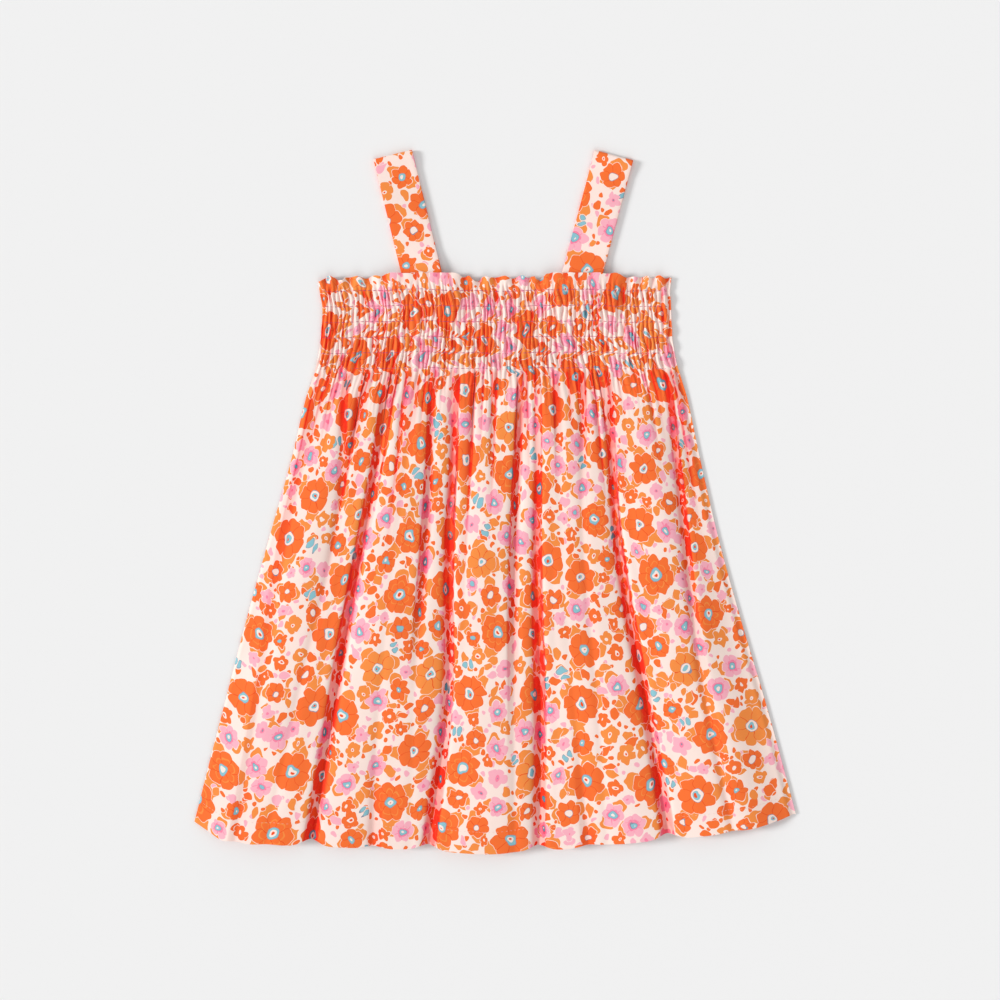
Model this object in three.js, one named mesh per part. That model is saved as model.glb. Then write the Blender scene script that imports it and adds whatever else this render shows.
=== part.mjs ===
// A toddler's sundress of light printed cotton, laid flat on its back with the front uppermost:
// a shirred top with a frilled edge, a gathered skirt cut in one with it, and two folded shoulder straps.
// Units are millimetres. X runs across the dress, +Y towards the shoulders and +Z up from the surface.
// The origin is on the surface, under the middle of the whole dress. Left and right are as seen from above.
import * as THREE from "three";

// Cloth and how its layers lie
const CLOTH = 1.1;
const GAP = 0.3;
const BACK_TOP = CLOTH;
const FRONT_UNDER = BACK_TOP + GAP;
const FRONT_REST = FRONT_UNDER + CLOTH;

// Lengths down the dress, measured from the frilled top edge
const TOP_EDGE_Y = 154.6;
const FRILL = 11;
const SHIRRING_ROWS = 6;
const ROW_SPACING = 10.6;
const SHIRRING_END = FRILL + (SHIRRING_ROWS - 1) * ROW_SPACING;
const HEM_DOWN = 394.5;
const HEM_NOTCH = 5;
const HEM_NOTCH_WIDTH = 8;

// Shirring: narrow ribs that the elastic rows draw in
const RIBS = 76;
const RIB_HEIGHT = 1.5;
const RIB_AT_STITCH = 0.3;
const FRILL_WAVES = 25;
const FRILL_WAVE_HEIGHT = 1.6;
const FRILL_EDGE_WAVE = 1.3;
const FRILL_EDGE_LAG = 0.8;
const FRILL_WANDER = 2;
const FRILL_WANDER_WAVES = 3;
const GATHER_FADE = 16;

// Gathers are never even: the ribs shift a little to and fro across the dress
const UNEVEN = [
  { waves: 7, size: 0.0035, start: 1 },
  { waves: 17, size: 0.0016, start: 2 },
];

// Skirt: how far the front stands off the back, how soon it comes down at the side edges, how wide the
// valleys between its folds are, and how high a fold stands before it draws the back up with it
const LIFT = [
  { v: 0, height: 1.6 },
  { v: 0.15, height: 3.4 },
  { v: 0.5, height: 4.8 },
  { v: 1, height: 5.1 },
];
const SIDE_ROLL = 34;
const NARROW_WIDTH = 5.2;
const BROAD_WIDTH = 17;
const BROAD_SHARE = 0.3;
const FOLD_CLEAR = 3.3;
const BACK_INSET = 0.8;

// Straps: a band of doubled cloth, folded over at the shoulder, with both ends sewn inside the top
const STRAP_WIDTH = 27.2;
const STRAP_LENGTH = 83.7;
const STRAP_TUCK = 11;
const STRAP_DESCENT = { from: 1, to: 17 };
const STRAP_LOOP = 1.15;
const STRAP_LOOP_RAMP = 14;
const STRAPS = [
  { name: "strap_left", foot: -48.2, lean: 13.7 },
  { name: "strap_right", foot: 61, lean: -15 },
];
const STRAP_BED = { across: 20, down: 15 };
const STRAP_BED_FADE = { across: 12, down: 24 };

// Side edges of the laid dress
const OUTLINE = [
  { down: -4, left: -121.1, right: 121.1 },
  { down: 11, left: -119.1, right: 119.9 },
  { down: 24, left: -117.1, right: 120.5 },
  { down: 44, left: -118.3, right: 121.5 },
  { down: 58, left: -120.5, right: 123.7 },
  { down: 71, left: -123.9, right: 127.5 },
  { down: 85, left: -128.7, right: 131.7 },
  { down: 126, left: -138.5, right: 140.3 },
  { down: 180, left: -153.9, right: 152.7 },
  { down: 235, left: -169.3, right: 167.7 },
  { down: 289, left: -183.5, right: 183.7 },
  { down: 343, left: -197.5, right: 198.4 },
  { down: 395, left: -210.7, right: 212 },
];

// How far below the top edge the hem lies, from -1 at its left corner to 1 at its right
const HEM = [
  { side: -1, down: 372 },
  { side: -0.94, down: 379 },
  { side: -0.87, down: 386.5 },
  { side: -0.7, down: 388.5 },
  { side: -0.45, down: 390.5 },
  { side: -0.2, down: 392.5 },
  { side: 0, down: 394.5 },
  { side: 0.25, down: 391 },
  { side: 0.5, down: 386 },
  { side: 0.8, down: 379.5 },
  { side: 0.93, down: 373.2 },
  { side: 1, down: 368 },
];

// Fold valleys of the front skirt, in order across it. Each row holds a valley's place, from -1 at the
// left edge to 1 at the right, and its share of the full depth. The four values of each are those at the
// shirring, one third and two thirds of the way down, and at the hem.
const VALLEYS = [
  { at: [-0.95, -0.93, -0.87, -0.84], depth: [0.4, 0.4, 0.35, 0.3] },
  { at: [-0.82, -0.70, -0.72, -0.74], depth: [0.7, 0.4, 0.2, 0.12] },
  { at: [-0.58, -0.576, -0.588, -0.595], depth: [0.5, 0.95, 1, 0.95] },
  { at: [-0.43, -0.42, -0.42, -0.39], depth: [0.5, 0.1, 0.15, 0.4] },
  { at: [-0.34, -0.296, -0.29, -0.27], depth: [0.8, 0.75, 0.15, 0.1] },
  { at: [-0.213, -0.192, -0.17, -0.212], depth: [0.8, 1, 1, 0.85] },
  { at: [0.141, 0.102, 0.08, 0.07], depth: [0.9, 1, 0.35, 0.15] },
  { at: [0.23, 0.2, 0.174, 0.145], depth: [0.4, 0.75, 1, 0.85] },
  { at: [0.33, 0.31, 0.3, 0.31], depth: [0.6, 0.1, 0.12, 0.35] },
  { at: [0.472, 0.409, 0.39, 0.37], depth: [0.8, 0.3, 0.2, 0.12] },
  { at: [0.611, 0.558, 0.562, 0.57], depth: [0.6, 1, 1, 0.8] },
  { at: [0.93, 0.865, 0.794, 0.787], depth: [0.9, 0.85, 0.35, 0.25] },
];

// Fineness of the faces
const RIB_COLUMNS = 2 * RIBS;
const VALLEY_COLUMNS = 6;
const SKIRT_ROWS = 13;
const BACK_VALLEY_COLUMNS = 4;
const PLAIN_COLUMNS = 40;
const FRILL_ROWS = [0, 0.5];
const GATHER_ROWS = [6, 15, 28];
const SKIRT_START = 42;
const LINING_ROWS = [0, 12, 22, 34, SHIRRING_END];
const BACK_SKIRT_ROWS = 12;
const LOOP_STEPS = 8;
const DESCENT_STEPS = 4;

const FLORAL_COTTON = { color: 0xf58a5e, roughness: 0.85, metalness: 0 };

function lerp(a, b, share) {
  return a + (b - a) * share;
}

function ramp(from, to, at) {
  return THREE.MathUtils.smoothstep(at, from, to);
}

// A smooth curve through one column of a table, read at a value of another column.
function readTable(rows, key, value, at) {
  let i = 0;
  while (i < rows.length - 2 && at > rows[i + 1][key]) i += 1;
  const [a, b] = [rows[i], rows[i + 1]];
  const before = rows[Math.max(i - 1, 0)];
  const after = rows[Math.min(i + 2, rows.length - 1)];
  const span = b[key] - a[key];
  const t = THREE.MathUtils.clamp((at - a[key]) / span, 0, 1);
  const slopeA = ((b[value] - before[value]) / (b[key] - before[key])) * span;
  const slopeB = ((after[value] - a[value]) / (after[key] - a[key])) * span;
  const t2 = t * t;
  const t3 = t2 * t;
  return (
    (2 * t3 - 3 * t2 + 1) * a[value] +
    (t3 - 2 * t2 + t) * slopeA +
    (3 * t2 - 2 * t3) * b[value] +
    (t3 - t2) * slopeB
  );
}

// A valley's place or depth at v, from 0 at the shirring to 1 at the hem.
function alongValley(valley, column, v) {
  const rows = valley[column].map((value, third) => ({ v: third / 3, value }));
  return Math.min(readTable(rows, "v", "value", v), 1);
}

function valleyShare(valley, v) {
  return (alongValley(valley, "at", v) + 1) / 2;
}

function uneven(across) {
  const shift = ({ waves, size, start }) => size * Math.sin(2 * Math.PI * waves * across + start);
  return across + UNEVEN.reduce((sum, row) => sum + shift(row), 0);
}

// X of a point that lies a share of the way across the dress, from 0 at the left edge to 1 at the right.
function acrossX(share, down) {
  const left = readTable(OUTLINE, "down", "left", down);
  const right = readTable(OUTLINE, "down", "right", down);
  return lerp(left, right, share);
}

// The hem rises towards its corners, and is drawn up a little at each valley.
function hemDown(share) {
  let down = readTable(HEM, "side", "down", 2 * share - 1);
  for (const valley of VALLEYS) {
    const away = acrossX(share, HEM_DOWN) - acrossX(valleyShare(valley, 1), HEM_DOWN);
    down -= HEM_NOTCH * alongValley(valley, "depth", 1) * Math.exp(-((away / HEM_NOTCH_WIDTH) ** 2));
  }
  return down;
}

function skirtDown(share, v) {
  return lerp(SHIRRING_END, hemDown(share), v);
}

// The cloth comes down to the seam at each side edge.
function sideRoll(x, down) {
  const edge = Math.min(x - acrossX(0, down), acrossX(1, down) - x);
  return ramp(0, SIDE_ROLL, edge);
}

// Height of the front skirt above where it would lie on the back.
function skirtLift(share, v) {
  const down = skirtDown(share, v);
  const x = acrossX(share, down);
  let lift = readTable(LIFT, "v", "height", v) * sideRoll(x, down);
  for (const valley of VALLEYS) {
    const away = x - acrossX(valleyShare(valley, v), down);
    const narrow = 1 / (1 + (away / NARROW_WIDTH) ** 2) ** 2;
    const broad = Math.exp(-((away / BROAD_WIDTH) ** 2));
    lift *= 1 - alongValley(valley, "depth", v) * lerp(narrow, broad, BROAD_SHARE);
  }
  return lift;
}

// Height of the back skirt above the surface: flat, but drawn up a little under the front's highest folds.
function backLift(share, v) {
  return Math.max(skirtLift(share, v) - FOLD_CLEAR, 0);
}

// The front stands up over the strap ends that are sewn inside it.
function strapBump(x, down) {
  let bump = 0;
  for (const strap of STRAPS) {
    const away = Math.abs(x - strap.foot);
    const beside = 1 - ramp(STRAP_BED.across, STRAP_BED.across + STRAP_BED_FADE.across, away);
    const below = 1 - ramp(STRAP_BED.down, STRAP_BED.down + STRAP_BED_FADE.down, down);
    bump = Math.max(bump, beside * below);
  }
  return bump * 2 * (CLOTH + GAP);
}

function rib(across) {
  return 0.5 + 0.5 * Math.cos(2 * Math.PI * RIBS * across);
}

// Ribs stand proud between the rows of shirring and are drawn in at each row.
function ribHeight(across, down) {
  const between = Math.abs(Math.sin((Math.PI * (down - FRILL)) / ROW_SPACING));
  return RIB_HEIGHT * rib(across) * lerp(RIB_AT_STITCH, 1, between);
}

function frillPhase(across) {
  const wander = FRILL_WANDER * Math.sin(2 * Math.PI * FRILL_WANDER_WAVES * across);
  return 2 * Math.PI * FRILL_WAVES * across + wander;
}

function frillHeight(across) {
  return FRILL_WAVE_HEIGHT * (0.5 + 0.5 * Math.sin(frillPhase(across)));
}

function frillEdge(across) {
  return -FRILL_EDGE_WAVE * Math.sin(frillPhase(across) + FRILL_EDGE_LAG);
}

function point(x, down, z) {
  return new THREE.Vector3(x, TOP_EDGE_Y - down, z);
}

function range(count) {
  return Array.from({ length: count + 1 }, (_, i) => i / count);
}

// Shares of the way across that crowd towards each valley, so that narrow valleys keep their shape.
function valleyShares(v, columns) {
  const ends = [0, ...VALLEYS.map((valley) => valleyShare(valley, v)), 1];
  const shares = [0];
  for (let i = 1; i < ends.length; i += 1) {
    for (let k = 1; k <= columns; k += 1) {
      const eased = 0.5 - 0.5 * Math.cos((Math.PI * k) / columns);
      shares.push(lerp(ends[i - 1], ends[i], eased));
    }
  }
  return shares;
}

// Triangles between two lines of points that run the same way, whatever their counts.
function zip(indices, points, lower, upper) {
  const progress = (line) => {
    const lengths = [0];
    for (let i = 1; i < line.length; i += 1) {
      lengths.push(lengths[i - 1] + points[line[i]].distanceTo(points[line[i - 1]]));
    }
    return lengths.map((length) => length / lengths[lengths.length - 1]);
  };
  const [low, high] = [progress(lower), progress(upper)];
  let [i, j] = [0, 0];
  while (i < lower.length - 1 || j < upper.length - 1) {
    const takeLower = j === upper.length - 1 || (i < lower.length - 1 && low[i + 1] <= high[j + 1]);
    if (takeLower) {
      indices.push(lower[i], lower[i + 1], upper[j]);
      i += 1;
    } else {
      indices.push(lower[i], upper[j + 1], upper[j]);
      j += 1;
    }
  }
}

// A closed wall of cloth between two surfaces. Each is rows of points, from left to right, with the first row
// towards +Y. The rows may hold different numbers of points.
function clothWall(top, under) {
  const points = [];
  const numbered = (rows) => rows.map((row) => row.map((p) => points.push(p) - 1));
  const [topRows, underRows] = [numbered(top), numbered(under)];
  const indices = [];
  for (let i = 1; i < topRows.length; i += 1) zip(indices, points, topRows[i], topRows[i - 1]);
  for (let i = 1; i < underRows.length; i += 1) zip(indices, points, underRows[i - 1], underRows[i]);
  const first = (rows) => rows.map((row) => row[0]);
  const last = (rows) => rows.map((row) => row[row.length - 1]);
  zip(indices, points, topRows[0], underRows[0]);
  zip(indices, points, underRows.at(-1), topRows.at(-1));
  zip(indices, points, first(underRows), first(topRows));
  zip(indices, points, last(topRows), last(underRows));
  const geometry = new THREE.BufferGeometry().setFromPoints(points);
  geometry.setIndex(indices);
  geometry.computeVertexNormals();
  return geometry;
}

function frontTop() {
  const rows = [];
  const ribRow = (place) => rows.push(range(RIB_COLUMNS).map(place));
  for (const share of FRILL_ROWS) {
    ribRow((across) => {
      const down = lerp(frillEdge(across), FRILL, share);
      const x = acrossX(uneven(across), down);
      const height = lerp(frillHeight(across), ribHeight(across, FRILL), share);
      return point(x, down, FRONT_REST + strapBump(x, down) + height);
    });
  }
  for (let half = 0; half <= 2 * (SHIRRING_ROWS - 1); half += 1) {
    const down = FRILL + (half * ROW_SPACING) / 2;
    ribRow((across) => {
      const x = acrossX(uneven(across), down);
      return point(x, down, FRONT_REST + strapBump(x, down) + ribHeight(across, down));
    });
  }
  for (const below of GATHER_ROWS) {
    ribRow((across) => {
      const share = uneven(across);
      const v = below / (hemDown(share) - SHIRRING_END);
      const down = skirtDown(share, v);
      const gather = RIB_HEIGHT * rib(across) * Math.exp(-below / GATHER_FADE);
      const lift = skirtLift(share, v) * ramp(0, SKIRT_START, below);
      return point(acrossX(share, down), down, FRONT_REST + lift + gather);
    });
  }
  for (const v of skirtLevels()) {
    rows.push(skirtRow(v, FRONT_REST));
  }
  return rows;
}

function skirtLevels() {
  const start = SKIRT_START / (HEM_DOWN - SHIRRING_END);
  return range(SKIRT_ROWS).map((step) => lerp(start, 1, step));
}

function skirtRow(v, rest) {
  return valleyShares(v, VALLEY_COLUMNS).map((share) => {
    const down = skirtDown(share, v);
    return point(acrossX(share, down), down, rest + skirtLift(share, v));
  });
}

function frontUnder() {
  const rows = LINING_ROWS.map((down) =>
    range(PLAIN_COLUMNS).map((across) => {
      const x = acrossX(across, down);
      return point(x, down, FRONT_UNDER + strapBump(x, down));
    }),
  );
  for (const v of skirtLevels()) {
    rows.push(skirtRow(v, FRONT_UNDER));
  }
  return rows;
}

// The back's edge lies a little inside the front's, so that it is hidden from above.
function backShare(share) {
  const inset = BACK_INSET / (OUTLINE[0].right - OUTLINE[0].left);
  return lerp(inset, 1 - inset, share);
}

function backSurface(height) {
  const rows = [BACK_INSET, ...LINING_ROWS.slice(1)].map((down) =>
    range(PLAIN_COLUMNS).map((share) => point(acrossX(backShare(share), down), down, height)),
  );
  for (const v of range(BACK_SKIRT_ROWS).slice(1)) {
    rows.push(
      valleyShares(v, BACK_VALLEY_COLUMNS).map((across) => {
        const share = backShare(across);
        const down = skirtDown(share, v) - BACK_INSET * v;
        return point(acrossX(share, down), down, height + backLift(share, v));
      }),
    );
  }
  return rows;
}

// Heights of a strap's middle layer: low on the surface, and raised where its end lies inside the dress.
function strapProfile() {
  const tucked = { back: BACK_TOP + GAP + CLOTH / 2, front: BACK_TOP + 2 * GAP + 1.5 * CLOTH };
  const laid = { back: CLOTH / 2, front: 1.5 * CLOTH + GAP };
  const { from, to } = STRAP_DESCENT;
  const descent = range(DESCENT_STEPS).map((step) => lerp(from, to, step));
  const nearLoop = [STRAP_LENGTH - STRAP_LOOP_RAMP, STRAP_LENGTH - STRAP_LOOP_RAMP / 2];
  const stations = [-STRAP_TUCK, ...descent, (to + STRAP_LENGTH) / 2, ...nearLoop];
  const backRun = stations.map((along) => ({
    along,
    z: lerp(tucked.back, laid.back, ramp(from, to, along)),
  }));
  const frontRun = stations.map((along) => {
    const height = lerp(tucked.front, laid.front, ramp(from, to, along));
    const loop = ramp(STRAP_LENGTH - STRAP_LOOP_RAMP, STRAP_LENGTH - STRAP_LOOP, along);
    return { along, z: lerp(height, laid.back + 2 * STRAP_LOOP, loop) };
  });
  const loop = range(LOOP_STEPS).map((step) => {
    const angle = -Math.PI / 2 + Math.PI * step;
    return {
      along: STRAP_LENGTH - STRAP_LOOP + STRAP_LOOP * Math.cos(angle),
      z: laid.back + STRAP_LOOP + STRAP_LOOP * Math.sin(angle),
    };
  });
  return [...backRun, ...loop, ...frontRun.reverse()];
}

// The strap as a wall: its middle line moved half a cloth to each side, then laid across its width.
function strapWall(strap) {
  const line = strapProfile();
  const lean = THREE.MathUtils.degToRad(strap.lean);
  const surface = (side) =>
    line.map((here, i) => {
      const before = line[Math.max(i - 1, 0)];
      const after = line[Math.min(i + 1, line.length - 1)];
      const [run, rise] = [after.along - before.along, after.z - before.z];
      const length = Math.hypot(run, rise);
      const along = here.along + (side * CLOTH * rise) / length / 2;
      const z = here.z - (side * CLOTH * run) / length / 2;
      return [-STRAP_WIDTH / 2, 0, STRAP_WIDTH / 2].map((across) => {
        const x = strap.foot + across * Math.cos(lean) - along * Math.sin(lean);
        const up = along * Math.cos(lean) + across * Math.sin(lean);
        return point(x, -up, z);
      });
    });
  return clothWall(surface(1), surface(-1));
}

function piece(name, geometry) {
  const mesh = new THREE.Mesh(geometry, new THREE.MeshStandardMaterial(FLORAL_COTTON));
  mesh.name = name;
  return mesh;
}

const dress = new THREE.Group();
dress.add(piece("back_panel", clothWall(backSurface(CLOTH), backSurface(0))));
dress.add(piece("front_panel", clothWall(frontTop(), frontUnder())));
for (const strap of STRAPS) dress.add(piece(strap.name, strapWall(strap)));

export default dress;
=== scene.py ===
"""A toddler's sundress of light printed cotton, laid flat: cloth, print and thread in a plain studio."""

import math

import bpy
import numpy as np
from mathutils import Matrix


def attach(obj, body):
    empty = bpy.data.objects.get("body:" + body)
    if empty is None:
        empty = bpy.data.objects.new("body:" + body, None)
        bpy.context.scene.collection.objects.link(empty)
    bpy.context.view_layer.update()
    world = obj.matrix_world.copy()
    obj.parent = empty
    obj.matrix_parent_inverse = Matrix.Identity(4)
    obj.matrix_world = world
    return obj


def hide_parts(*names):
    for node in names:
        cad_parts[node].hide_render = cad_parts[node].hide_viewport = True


bl_info = {
    "name": "Toddler's sundress",
    "version": (1, 0, 0),
    "blender": (4, 5, 0),
    "location": "3D View > Sidebar > Sundress",
    "description": "Makes the printed cloth, thread and studio of a toddler's sundress laid flat",
    "category": "Object",
}

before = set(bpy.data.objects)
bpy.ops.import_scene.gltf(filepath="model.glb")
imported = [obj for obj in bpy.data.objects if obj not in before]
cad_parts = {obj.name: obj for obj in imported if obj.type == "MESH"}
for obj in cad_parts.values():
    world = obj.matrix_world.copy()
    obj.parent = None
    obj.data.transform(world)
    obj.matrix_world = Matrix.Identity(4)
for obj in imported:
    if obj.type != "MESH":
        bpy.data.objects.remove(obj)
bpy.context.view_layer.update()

MM = 0.001
CUT_MAP = "cut"
# The attribute that carries each point's painted shade in folds, grooves and creases
FOLD_SHADE = "fold_shade"

# How the layers lie, in millimetres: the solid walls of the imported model
WALL = 1.1
GAP = 0.3
FRONT_REST = 2 * WALL + GAP
TOP_EDGE_Y = 154.6

# Lengths down the dress from its top edge
FRILL = 11.0
SHIRRING_ROWS = 6
ROW_SPACING = 10.6
SHIRRING_END = FRILL + (SHIRRING_ROWS - 1) * ROW_SPACING
HEM_DOWN = 394.5
HEM_NOTCH = 5.0
HEM_NOTCH_WIDTH = 8.0

# The cut of a panel before it is gathered: a little wider at the hem than at the top
PANEL_TOP = 420.0
PANEL_HEM = 460.0
PANEL_LENGTH = HEM_DOWN

# The ribs of the bodice and the waves of the frill, and how unevenly they bunch across the dress
RIBS = 76
RIB_TALL = (0.6, 1.15)
RIB_SEED = 3
BODICE_WIDTH = 242.0
WAIST_WIDTH = 245.0
FRILL_WAVES = 25
FRILL_WANDER = 2.0
FRILL_WANDER_WAVES = 3
UNEVEN = (
    {"waves": 7, "size": 0.0035, "start": 1.0},
    {"waves": 17, "size": 0.0016, "start": 2.0},
)

# How high the front skirt stands between its folds, from the shirring to the hem
LIFT = (
    {"v": 0.0, "height": 1.6},
    {"v": 0.15, "height": 3.4},
    {"v": 0.5, "height": 4.8},
    {"v": 1.0, "height": 5.1},
)
SIDE_ROLL = 34.0

# The back's low folds start where the front's stand higher than this, and the back lies a little inside
# the front's outline
FOLD_CLEAR = 3.3
BACK_INSET = 0.8

# How much cloth is hidden where the shade is deepest, as a share of what shows, in ribs and in folds
HIDDEN_IN_RIBS = 1.5
HIDDEN_IN_FOLDS = 0.55

# The frill's cut edge: how far it dips, its waves, its few deeper notches and its rounded left corner
EDGE_DIP = 1.9
EDGE_WAVE = 1.1
EDGE_NOTCH = 2.4
CORNER_DIP = 4.0

# How high the frill's waves stand, how far below the shirring the ribs and their painted shade fade out,
# and how far below it the skirt's folds reach their full height
FRILL_LIFT = 2.4
RIB_FADE = 11.0
GROOVE_FADE = 8.0
FOLD_START = 42.0

# How deep the painted shade is between ribs and in the frill's waves
GROOVE_SHADE = 0.66
FRILL_SHADE = 0.7

# The sides turn down to the cloth under them, and the skirt billows a little between its folds
SIDE_DROP = 1.3
SIDE_TURN = 4.0
BILLOW = 0.4

# The straps: a flat band each, from its tuck inside the dress down to the surface and up to the fold at the
# shoulder, where each foot is across the dress, and how far it leans to the left in degrees
STRAP_WIDTH = 27.2
STRAP_LENGTH = 83.7
STRAP_TUCK = 11.0
STRAP_DESCENT = (1.0, 17.0)
STRAP_LOOP = 1.15
STRAP_LOOP_RAMP = 14.0
STRAPS = (
    {"name": "strap_left", "foot": -48.2, "lean": 13.7},
    {"name": "strap_right", "foot": 61.0, "lean": -15.0},
)
# Where the panels stand higher over a strap's end, and how far that takes to fade out
STRAP_BED = {"across": 20.0, "down": 15.0}
STRAP_BED_FADE = {"across": 12.0, "down": 24.0}

# The dress's two sides, at lengths down from its top edge
OUTLINE = (
    {"down": -4.0, "left": -121.1, "right": 121.1},
    {"down": 11.0, "left": -119.1, "right": 119.9},
    {"down": 24.0, "left": -117.1, "right": 120.5},
    {"down": 44.0, "left": -118.3, "right": 121.5},
    {"down": 58.0, "left": -120.5, "right": 123.7},
    {"down": 71.0, "left": -123.9, "right": 127.5},
    {"down": 85.0, "left": -128.7, "right": 131.7},
    {"down": 126.0, "left": -138.5, "right": 140.3},
    {"down": 180.0, "left": -153.9, "right": 152.7},
    {"down": 235.0, "left": -169.3, "right": 167.7},
    {"down": 289.0, "left": -183.5, "right": 183.7},
    {"down": 343.0, "left": -197.5, "right": 198.4},
    {"down": 395.0, "left": -210.7, "right": 212.0},
)
# The hem's line from the left side, -1, to the right side
HEM = (
    {"side": -1.0, "down": 372.0},
    {"side": -0.94, "down": 379.0},
    {"side": -0.87, "down": 386.5},
    {"side": -0.7, "down": 388.5},
    {"side": -0.45, "down": 390.5},
    {"side": -0.2, "down": 392.5},
    {"side": 0.0, "down": 394.5},
    {"side": 0.25, "down": 391.0},
    {"side": 0.5, "down": 386.0},
    {"side": 0.8, "down": 379.5},
    {"side": 0.93, "down": 373.2},
    {"side": 1.0, "down": 368.0},
)

# Fold valleys of the front skirt: place across it and share of full depth, at four levels from shirring to
# hem, and the side, -1 for left, on which the laid-over cloth ends in a crisp line
VALLEYS = (
    {"at": (-0.95, -0.93, -0.87, -0.84), "depth": (0.4, 0.4, 0.35, 0.3), "crisp": -1},
    {"at": (-0.82, -0.70, -0.72, -0.74), "depth": (0.7, 0.4, 0.2, 0.12), "crisp": 1},
    {"at": (-0.58, -0.576, -0.588, -0.595), "depth": (0.5, 0.95, 1, 0.95), "crisp": -1},
    {"at": (-0.43, -0.42, -0.42, -0.39), "depth": (0.5, 0.1, 0.15, 0.4), "crisp": 1},
    {"at": (-0.34, -0.296, -0.29, -0.27), "depth": (0.8, 0.75, 0.15, 0.1), "crisp": -1},
    {"at": (-0.213, -0.192, -0.17, -0.212), "depth": (0.8, 1, 1, 0.85), "crisp": 1},
    {"at": (0.141, 0.102, 0.08, 0.07), "depth": (0.9, 1, 0.35, 0.15), "crisp": -1},
    {"at": (0.23, 0.2, 0.174, 0.145), "depth": (0.4, 0.75, 1, 0.85), "crisp": 1},
    {"at": (0.33, 0.31, 0.3, 0.31), "depth": (0.6, 0.1, 0.12, 0.35), "crisp": -1},
    {"at": (0.472, 0.409, 0.39, 0.37), "depth": (0.8, 0.3, 0.2, 0.12), "crisp": 1},
    {"at": (0.611, 0.558, 0.562, 0.57), "depth": (0.6, 1, 1, 0.8), "crisp": 1},
    {"at": (0.93, 0.865, 0.794, 0.787), "depth": (0.9, 0.85, 0.35, 0.25), "crisp": 1},
)
NARROW_WIDTH = 4.6
BROAD_WIDTH = 17.0
BROAD_SHARE = 0.3
# Each fold's band of painted shade: half width at the shirring and at the hem, and the widths of its crisp
# and soft edges, which also place the raised lip beyond the crisp edge
BAND_HALF = (2.0, 4.8)
BAND_CRISP = 0.5
BAND_SOFT = 1.8
LIP_HEIGHT = 0.8
LIP_REACH = 9.0

# Short gathers that run down from the last row of shirring
GATHERS = 40
GATHER_LENGTH = (16.0, 105.0)
GATHER_DEPTH = (0.7, 2.1)
GATHER_WIDTH = (1.5, 4.2)
# Width of a closed crease, and the painted shade it is given, 3 being the darkest
CREASE_WIDTH = 0.75
CREASE_SHADE = 3.0
GATHER_SEED = 7

# Fine creases pinched in between the rows of shirring
PINCHES = 30
PINCH_WIDTH = 0.5
PINCH_DEPTH = 1.1
PINCH_SEED = 11

# The print's layers of motifs, largest first: the grid each is scattered from, its size in millimetres, the
# smallest size that is still printed, and how many larger layers it leaves room for
PRINT = (
    {"cell": 48.0, "turn": 12, "shift": (17, 5), "size": 15.6, "spread": 0.25, "least": 5.0, "clear_of": 0},
    {"cell": 24.0, "turn": 41, "shift": (5, 33), "size": 9.8, "spread": 0.3, "least": 5.0, "clear_of": 1},
    {"cell": 16.5, "turn": -23, "shift": (71, 9), "size": 7.4, "spread": 0.3, "least": 4.2, "clear_of": 2},
    {"cell": 11.0, "turn": 66, "shift": (2, 57), "size": 6.2, "spread": 0.25, "least": 3.6, "clear_of": 3},
    {"cell": 8.2, "turn": -50, "shift": (31, 13), "size": 5.2, "spread": 0.2, "least": 3.0, "clear_of": 3},
    {"cell": 6.4, "turn": 20, "shift": (3, 3), "size": 2.0, "spread": 0.3, "least": 1.5, "clear_of": 3},
)
PRINT_JITTER = 0.5
BACK_PRINT = 690.0
STRAP_PRINT = {"from": 700, "apart": 90}
FAR_OUTSIDE = 100.0
PRINT_GAP = 0.4
HAND_DRAWN = 3.4
LARGE_PETALS = 7
MIDDLE_PETALS = 6


# Each motif has a chance from 0 to 1. These say from which chance it is of another kind or colour.
FROM = {
    "large orange": 0.08,
    "large teal eye": 0.4,
    "large ring": 0.6,
    "middle teal eye": 0.25,
    "middle pink": 0.5,
    "second orange": 0.46,
    "second pink": 0.67,
    "orange leaf": 0.36,
    "bud": 0.5,
    "pink bud": 0.7,
    "pods": 0.82,
    "orange sprig": 0.52,
    "pink sprig": 0.84,
    "pink berry": 0.62,
}

# Painted shade tints in a fold, of light shown through from the layer under it, and of a closed crease
PAINTED_FOLD_SHADE_TINT = (0.95, 0.67, 0.73, 1)
PAINTED_SHOW_THROUGH_BARE = (1.0, 0.42, 0.42, 1)
PAINTED_SHOW_THROUGH_PRINT = (1.0, 0.12, 0.11, 1)
PAINTED_CREASE_SHADOW = (0.22, 0.2, 0.3, 1)

# Studio lamps: a large soft one low on the left, and a weak fill from the hem's side
LAMPS = (
    {"name": "key_light", "from": (-1.3, 0.04, 0.64), "softness": 15, "power": 2.4},
    {"name": "fill_light", "from": (0.15, -1.2, 1.0), "softness": 50, "power": 0.62},
)
ROOM_LIGHT = 0.58
FLOOR_SIZE = 8
FLOOR_DROP = 0.0002
CAMERA = {"place": (0.005, 0.0008, 1.896), "lens": 100, "sensor": 36}

# Sewing thread, in metres: one stitch of the shirring, and one of the hem as length, width and height
SHIRRING_STITCH = 0.0028
HEM_STITCH = (0.0018, 0.0002, 0.00018)
HEM_STITCHES = 150

# Fineness of the cloth, and the sharpest turn in degrees that is still shaded smooth
COLUMNS_PER_RIB = 6
FRILL_STEPS = 8
STEPS_PER_ROW = 6
GATHER_STEPS = 12
GATHER_END = 106.0
SKIRT_STEPS = 52
PANEL_SMOOTH = 75
STRAP_SMOOTH = 50


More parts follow.
